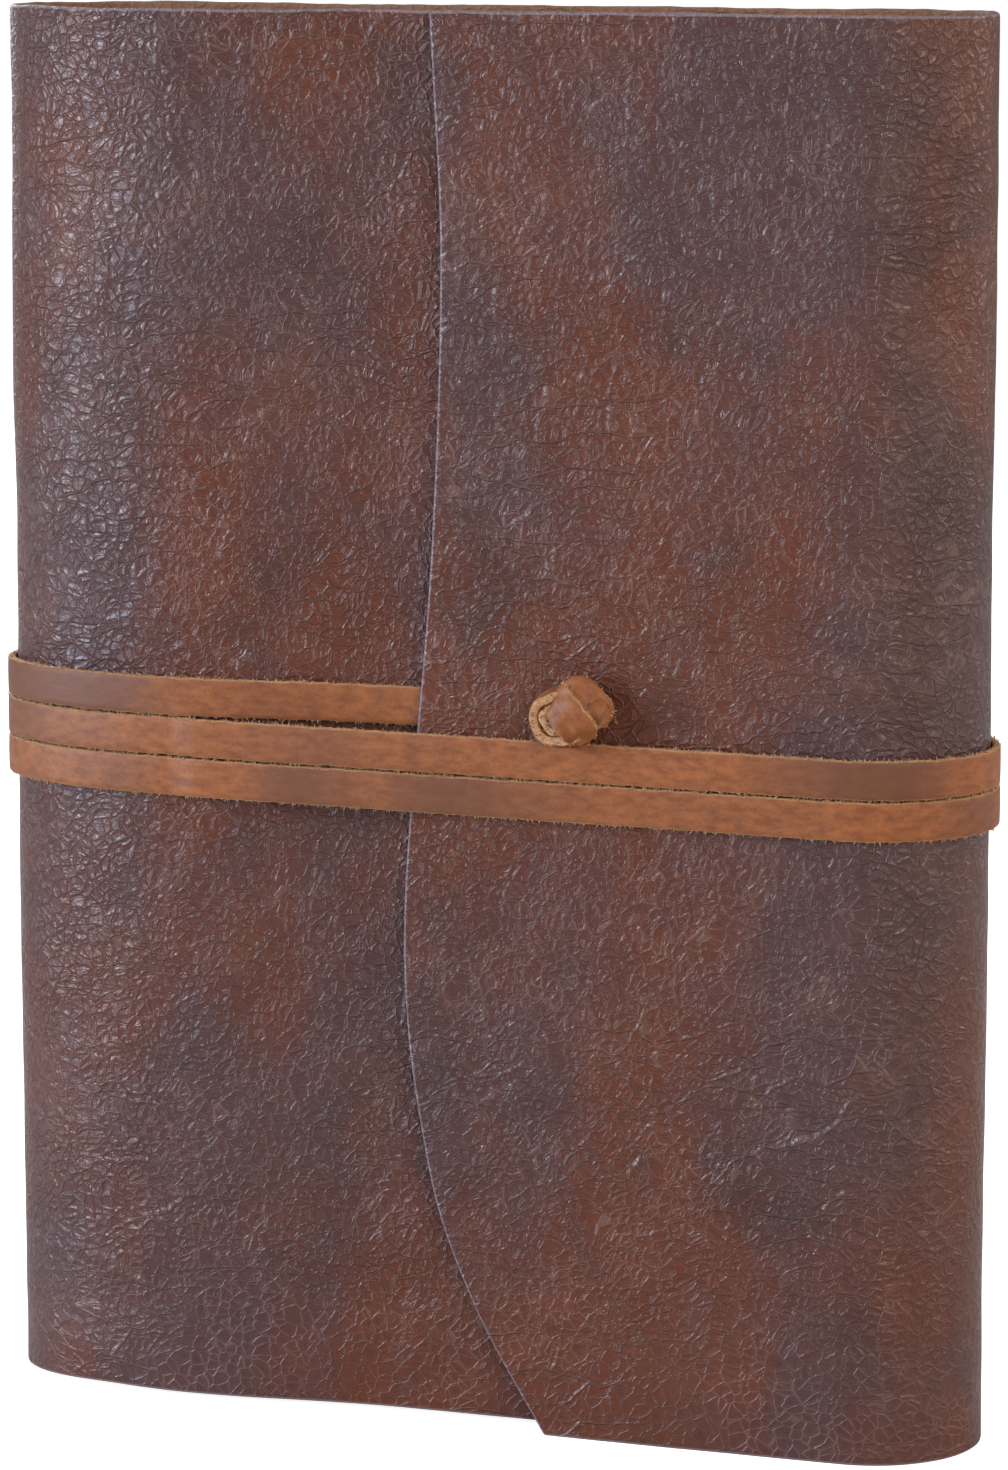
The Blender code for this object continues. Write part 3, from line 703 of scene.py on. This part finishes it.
def strap(name, path, outward, width, thickness, material, taper=None, ragged=0.10, seed=0.0, crumple=0.0):
    """A flat strap along a middle line, with ragged edges and, if asked, a crumpled face.

    Its coordinates are the distance along, the share of the half width, and the distance out.
    """
    _, face, across = strap_frames(path, outward)
    section = strap_section(width, thickness)
    at = along(path)
    taper = np.ones(len(path)) if taper is None else taper
    vertices, coords = [], []
    for i, centre in enumerate(path):
        offset = section * [taper[i], 1.0]
        offset[:, 1] += crumple * wobble(np.full(len(section), at[i]), section[:, 0], seed, 1.7)
        side = np.sign(section[:, 0])
        nick = ragged * wobble(np.full(len(section), at[i]), side * 3.0, seed, 1.3)
        edge = (np.abs(section[:, 0]) > width / 2 - 0.35) * side * nick
        where = centre + across[i] * (offset[:, :1] + edge[:, None]) + face[i] * offset[:, 1:]
        vertices.append(where)
        share = section[:, 0] / (width / 2)
        coords.append(np.stack([np.full(len(section), at[i]), share, section[:, 1]], axis=1))
    ring = len(section)
    faces = []
    for i in range(len(path) - 1):
        a, b = i * ring, (i + 1) * ring
        for j in range(ring):
            k = (j + 1) % ring
            faces.append((a + j, a + k, b + k, b + j))
    end = (len(path) - 1) * ring
    faces.append(tuple(range(ring))[::-1])
    faces.append(tuple(range(end, end + ring)))
    made = make_object(name, place(np.vstack(vertices)), faces, material, {"strap": np.vstack(coords)})
    made.data.set_sharp_from_angle(angle=math.radians(60))
    return made


def fibres(name, path, outward, width, thickness, material, per_mm, side_odds, seed):
    """Loose fibres standing off both cut edges of a strap, as thin closed spikes."""
    picker = random.Random(seed)
    tangent, face, across = strap_frames(path, outward)
    at = along(path)
    vertices, faces, coords = [], [], []
    for _ in range(int(at[-1] * per_mm)):
        s = picker.uniform(0.5, at[-1] - 0.5)
        i = int(np.searchsorted(at, s)) - 1
        share = (s - at[i]) / max(at[i + 1] - at[i], 1e-6)
        centre = path[i] + (path[i + 1] - path[i]) * share
        side = 1.0 if picker.random() < side_odds else -1.0
        level = picker.uniform(-0.2, thickness / 2 - 0.04)
        root = centre + across[i] * side * (width / 2 - 0.06) + face[i] * level
        lean = across[i] * side * picker.uniform(0.5, 1.0) + tangent[i] * picker.uniform(-0.9, 0.9)
        lean += face[i] * picker.uniform(-0.1, 0.7)
        tip = root + lean / np.linalg.norm(lean) * picker.uniform(0.15, 0.80)
        broad = picker.uniform(0.05, 0.13)
        base = len(vertices)
        vertices += [root + tangent[i] * broad, root - tangent[i] * broad, root + face[i] * broad * 1.4, tip]
        faces += [(base, base + 1, base + 3), (base + 1, base + 2, base + 3)]
        faces += [(base + 2, base, base + 3), (base, base + 2, base + 1)]
        coords += [(s, side, 0.0)] * 4
    return make_object(name, place(vertices), faces, material, {"strap": coords})


def lace_outward(path):
    """Which way the lace's outer face looks: away from the book's middle line in plan."""
    tangent = np.gradient(path, axis=0)
    flat = np.stack([-tangent[:, 1], tangent[:, 0], np.zeros(len(path))], axis=1)
    return flat / np.linalg.norm(flat, axis=1)[:, None]


def make_lace(material, fibre):
    path = lace_route()
    path = resample(path, int(along(path)[-1] / LACE_STEP))
    outward = lace_outward(path)
    piece = strap("lace_strap", path, outward, LACE_WIDTH, LACE_THICKNESS, material, ragged=0.16)
    fuzz = fibres("lace_fibres", path, outward, LACE_WIDTH, LACE_THICKNESS, fibre, 7.0, 0.66, 4)
    for thing in (piece, fuzz):
        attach(thing, "lace")
    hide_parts("wrap_lace")


KNOT_CENTRE = (LACE_HOLE_X, -HALF_DEPTH - 0.3, LACE_HOLE_Z)
KNOT_RAGGED = 0.28
KNOT_CRUMPLE = 0.42

# Knot: the middle lines of its strands, as (x, out from the flap, z) about the knot's centre
KNOT_LOOP = [
    (1.0, 2.2, 3.0), (-2.2, 2.6, 3.1), (-4.9, 2.6, 1.3), (-5.3, 2.6, -1.3),
    (-3.2, 2.7, -3.7), (0.2, 2.8, -4.1), (2.6, 2.6, -3.0), (3.6, 2.0, -1.6),
]
KNOT_CORE = [
    (0.6, 2.0, 1.6), (-1.6, 2.7, 1.9), (-3.4, 2.9, 0.6), (-3.5, 2.9, -1.0),
    (-2.0, 3.0, -2.3), (0.4, 2.9, -2.7),
]
KNOT_OVER = [(-2.0, 2.8, 2.6), (-0.8, 4.9, 1.9), (0.9, 5.9, 0.3), (2.4, 5.3, -1.5), (3.3, 3.5, -3.3)]
KNOT_PEAK = [
    (-1.6, 1.8, 0.6), (0.2, 3.2, 3.2), (1.6, 3.6, 4.2), (3.4, 3.3, 2.9),
    (4.8, 2.4, 0.6), (4.6, 1.4, -1.6),
]
KNOT_TIP = [(1.2, 2.4, -0.5), (3.3, 4.2, -0.4), (5.0, 3.8, 0.9), (5.6, 2.4, 2.0)]


def knot_strand(name, points, width, thickness, face_out, material, seed):
    """One crumpled strand of the knot. face_out is how much its face looks straight out from the flap."""
    path = smooth_curve(points, 10)
    path = resample(path, 46)
    centre = path.mean(axis=0)
    radial = path - centre
    radial[:, 1] = 0.0
    radial /= np.maximum(np.linalg.norm(radial, axis=1), 1e-6)[:, None]
    outward = radial * (1.0 - face_out) + np.array([0.0, 1.0, 0.0]) * face_out
    world = np.stack([path[:, 0], -path[:, 1], path[:, 2]], axis=1) + np.array(KNOT_CENTRE)
    outward[:, 1] *= -1.0
    ends = np.linspace(0.0, 1.0, len(path))
    taper = 0.55 + 0.45 * smooth_step(np.minimum(ends, 1.0 - ends) / 0.18)
    made = strap(name, world, outward, width, thickness, material, taper, KNOT_RAGGED, seed, KNOT_CRUMPLE)
    return made, world, outward


def make_knot(material, fibre):
    """The lace's end drawn through itself: edge-on loops, a strand folded over them, and a peaked fold."""
    # Name, middle line, width, thickness, how much its face looks out, seed
    strands = (
        ("knot_loop", KNOT_LOOP, 4.2, 1.5, 0.12, 31.0),
        ("knot_core", KNOT_CORE, 4.0, 1.3, 0.10, 43.0),
        ("knot_peak", KNOT_PEAK, 4.6, 1.2, 0.55, 57.0),
        ("knot_over", KNOT_OVER, 5.7, 1.2, 0.92, 73.0),
        ("knot_tip", KNOT_TIP, 3.4, 1.1, 0.7, 91.0),
    )
    lead = None
    for name, points, width, thickness, face_out, seed in strands:
        made, path, outward = knot_strand(name, points, width, thickness, face_out, material, seed)
        fuzz = fibres(name + "_fibres", path, outward, width, thickness, fibre, 9.0, 0.5, int(seed))
        for thing in (made, fuzz):
            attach(thing, "flap")
        lead = lead or made
    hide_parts("lace_knot")


def make_signature(index, material):
    """Folded sheets nested in one another, in the space of one CAD signature."""
    picker = random.Random(100 + index)
    low, high = (Vector(corner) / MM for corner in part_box(f"signature_{index}"))
    sheets = 6
    middle, half = (low.y + high.y) / 2, (high.y - low.y) / 2
    leaf = half / sheets
    bends = 8
    vertices, faces = [], []
    for sheet in range(sheets):
        outer = half - leaf * sheet
        fill = 0.86 if sheet < sheets - 1 else 0.98
        inner = outer - leaf * fill
        centre_x = low.x + half
        right = high.x - picker.uniform(0.0, 0.35)
        rise = picker.uniform(0.0, 0.18)
        bottom, top = low.z + rise, high.z - picker.uniform(0.0, 0.18)
        ring = []
        for radius, order in ((outer, 1), (inner, -1)):
            turn = np.radians(np.linspace(90, 270, bends + 1))
            side = [(right, middle + radius)]
            side += [(centre_x + radius * math.cos(a), middle + radius * math.sin(a)) for a in turn]
            side += [(right, middle - radius)]
            ring += side[::order]
        base, count = len(vertices), len(ring)
        for z in (bottom, top):
            vertices += [(x * MM, y * MM, z * MM) for x, y in ring]
        pairs = count // 2
        for i in range(count):
            k = (i + 1) % count
            faces.append((base + i, base + k, base + count + k, base + count + i)[::-1])
        for i in range(pairs - 1):
            a, b, c, d = base + i, base + i + 1, base + count - 2 - i, base + count - 1 - i
            faces.append((a, b, c, d))
            faces.append((a + count, d + count, c + count, b + count))
    made = make_object(f"paper_{index}", vertices, faces, material, {})
    made.data.set_sharp_from_angle(angle=math.radians(35))
    store_rest(made)
    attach(made, "back" if index == 8 else f"leaves_{index}")
    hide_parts(f"signature_{index}")


def stitches(name, body, node_name, side, material):
    """A row of saddle stitches round the three sewn edges of a pocket."""
    low, high = (Vector(corner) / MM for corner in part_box(node_name))
    face_y = low.y if side < 0 else high.y
    inset, pitch, long, fat = 1.3, 4.0, 2.7, 0.26
    left, right = low.x + 1.0, high.x - inset
    bottom, top = low.z + inset, high.z - inset
    runs = (((left, bottom), (right, bottom)), ((right, bottom), (right, top)), ((right, top), (left, top)))
    # A stitch's rings of points, as (distance along, share of its thickness)
    rings = [(0.0, 0.1), (0.35, 0.8), (long / 2, 1.0), (long - 0.35, 0.8), (long, 0.1)]
    sides = 6
    vertices, faces = [], []
    for (x0, z0), (x1, z1) in runs:
        length = math.hypot(x1 - x0, z1 - z0)
        ux, uz = (x1 - x0) / length, (z1 - z0) / length
        for k in range(int(length / pitch)):
            start = k * pitch + 0.6
            base = len(vertices)
            for s, size in rings:
                x, z = x0 + ux * (start + s), z0 + uz * (start + s)
                for j in range(sides):
                    a = 2 * math.pi * j / sides
                    out = fat * size * math.sin(a) - 0.10
                    across = fat * size * math.cos(a)
                    spot = (x - uz * across, face_y + side * out, z + ux * across)
                    vertices.append(tuple(value * MM for value in spot))
            for r in range(len(rings) - 1):
                for j in range(sides):
                    m = (j + 1) % sides
                    a, b = base + r * sides, base + (r + 1) * sides
                    faces.append((a + j, a + m, b + m, b + j))
            faces.append(tuple(base + j for j in range(sides))[::-1])
            faces.append(tuple(base + (len(rings) - 1) * sides + j for j in range(sides)))
    made = make_object(name, vertices, faces, material, {})
    store_rest(made)
    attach(made, body)


def dress_node(name, material):
    """Gives a CAD node, whose shape is right, its detailed material."""
    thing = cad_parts[name]
    store_rest(thing)
    for holder in thing.material_slots:
        holder.material = material


def softbox(name, place_at, size, power, colour):
    """A rectangular light that looks at the middle of the book; metres and watts."""
    lamp = bpy.data.lights.new(name, "AREA")
    lamp.shape = "RECTANGLE"
    lamp.size, lamp.size_y = size
    lamp.energy = power
    lamp.color = colour
    holder = bpy.data.objects.new(name, lamp)
    bpy.context.scene.collection.objects.link(holder)
    holder.location = place_at
    aim = Vector(BOOK_MIDDLE) - Vector(place_at)
    holder.rotation_euler = aim.to_track_quat("-Z", "Y").to_euler()


def studio():
    """White floor and world, and soft lights: warm from the front and the right, cool from the left."""
    bpy.context.scene.view_settings.view_transform = "Standard"
    world = bpy.data.worlds.new("studio")
    bpy.context.scene.world = world
    world.use_nodes = True
    sky = world.node_tree
    seen = node(sky, "LightPath").outputs["Is Camera Ray"]
    strength = remap(sky, seen, 0.0, 1.0, SKY_LIGHT, 1.0)
    sky.nodes["Background"].inputs[0].default_value = (1.0, 1.0, 1.0, 1.0)
    sky.links.new(strength, sky.nodes["Background"].inputs[1])

    bpy.ops.mesh.primitive_plane_add(size=FLOOR_SIZE, location=(0.0, 0.0, 0.0))
    floor = bpy.context.active_object
    floor.name = "floor"
    surface, tree, shader = start_material("pale_floor")
    shader.inputs["Base Color"].default_value = (0.60, 0.60, 0.60, 1.0)
    shader.inputs["Roughness"].default_value = 0.9
    shader.inputs["Emission Color"].default_value = (1.0, 1.0, 1.0, 1.0)
    glow = maths(tree, "MULTIPLY", node(tree, "LightPath").outputs["Is Camera Ray"], FLOOR_GLOW)
    tree.links.new(glow, shader.inputs["Emission Strength"])
    floor.data.materials.append(surface)

    softbox("key_softbox", (0.95, -1.25, 0.60), (0.6, 0.6), 16.0, (1.0, 0.92, 0.81))
    softbox("left_softbox", (-1.08, -0.68, 0.30), (0.35, 1.0), 36.0, (0.72, 0.83, 1.0))
    softbox("right_strip", (1.20, -0.22, 0.30), (0.18, 1.0), 8.0, (1.0, 0.92, 0.84))
    softbox("top_softbox", (-0.10, -0.15, 1.30), (0.9, 0.5), 5.0, (1.0, 1.0, 1.0))
    softbox("back_left_softbox", (-1.00, 1.10, 0.60), (0.6, 0.9), 8.0, (0.92, 0.95, 1.0))
    softbox("back_right_softbox", (1.10, 0.95, 0.60), (0.6, 0.9), 8.0, (1.0, 0.98, 0.95))


def camera():
    turn, tilt = math.radians(CAMERA_TURN), math.radians(CAMERA_TILT)
    back = Vector((math.sin(turn) * math.cos(tilt), -math.cos(turn) * math.cos(tilt), math.sin(tilt)))
    look_at = Vector(place([CAMERA_LOOK_AT])[0])
    lens = bpy.data.cameras.new("camera")
    lens.sensor_fit = "AUTO"
    lens.sensor_width = 36.0
    lens.lens = CAMERA_LENS
    holder = bpy.data.objects.new("camera", lens)
    bpy.context.scene.collection.objects.link(holder)
    holder.location = look_at + back * CAMERA_DISTANCE * MM
    holder.rotation_mode = "QUATERNION"
    holder.rotation_quaternion = (-back).to_track_quat("-Z", "Y")
    lens.clip_start, lens.clip_end = 0.05, 20.0
    bpy.context.scene.camera = holder


def main():
    camera()
    studio()
    make_hide(hide_material())
    lace, fibre = lace_material(), fibre_material()
    make_lace(lace, fibre)
    make_knot(lace, fibre)

    paper = plain_fibrous("paper_stock", *PAPER, 1.6, (1.0, 1.0, 1.0), 0.9, 0.00004)
    board = plain_fibrous("kraft_card", *CARD, 2.0, (1.0, 1.0, 0.4), 0.85, 0.00005)
    suede = plain_fibrous("pocket_suede", *POCKET, 1.1, (1.0, 1.0, 1.0), 0.9, 0.00012)
    linen = plain_fibrous("linen_thread", *THREAD, 3.0, (1.0, 1.0, 2.0), 0.8, 0.00006)
    for index in range(1, 9):
        make_signature(index, paper)
        dress_node(f"sewing_thread_{index}", linen)
    for name in ("front_card", "back_card"):
        dress_node(name, board)
    for name in ("front_pocket", "back_pocket"):
        dress_node(name, suede)
    stitches("front_pocket_stitches", "front", "front_pocket", 1, linen)
    stitches("back_pocket_stitches", "back", "back_pocket", -1, linen)


main()
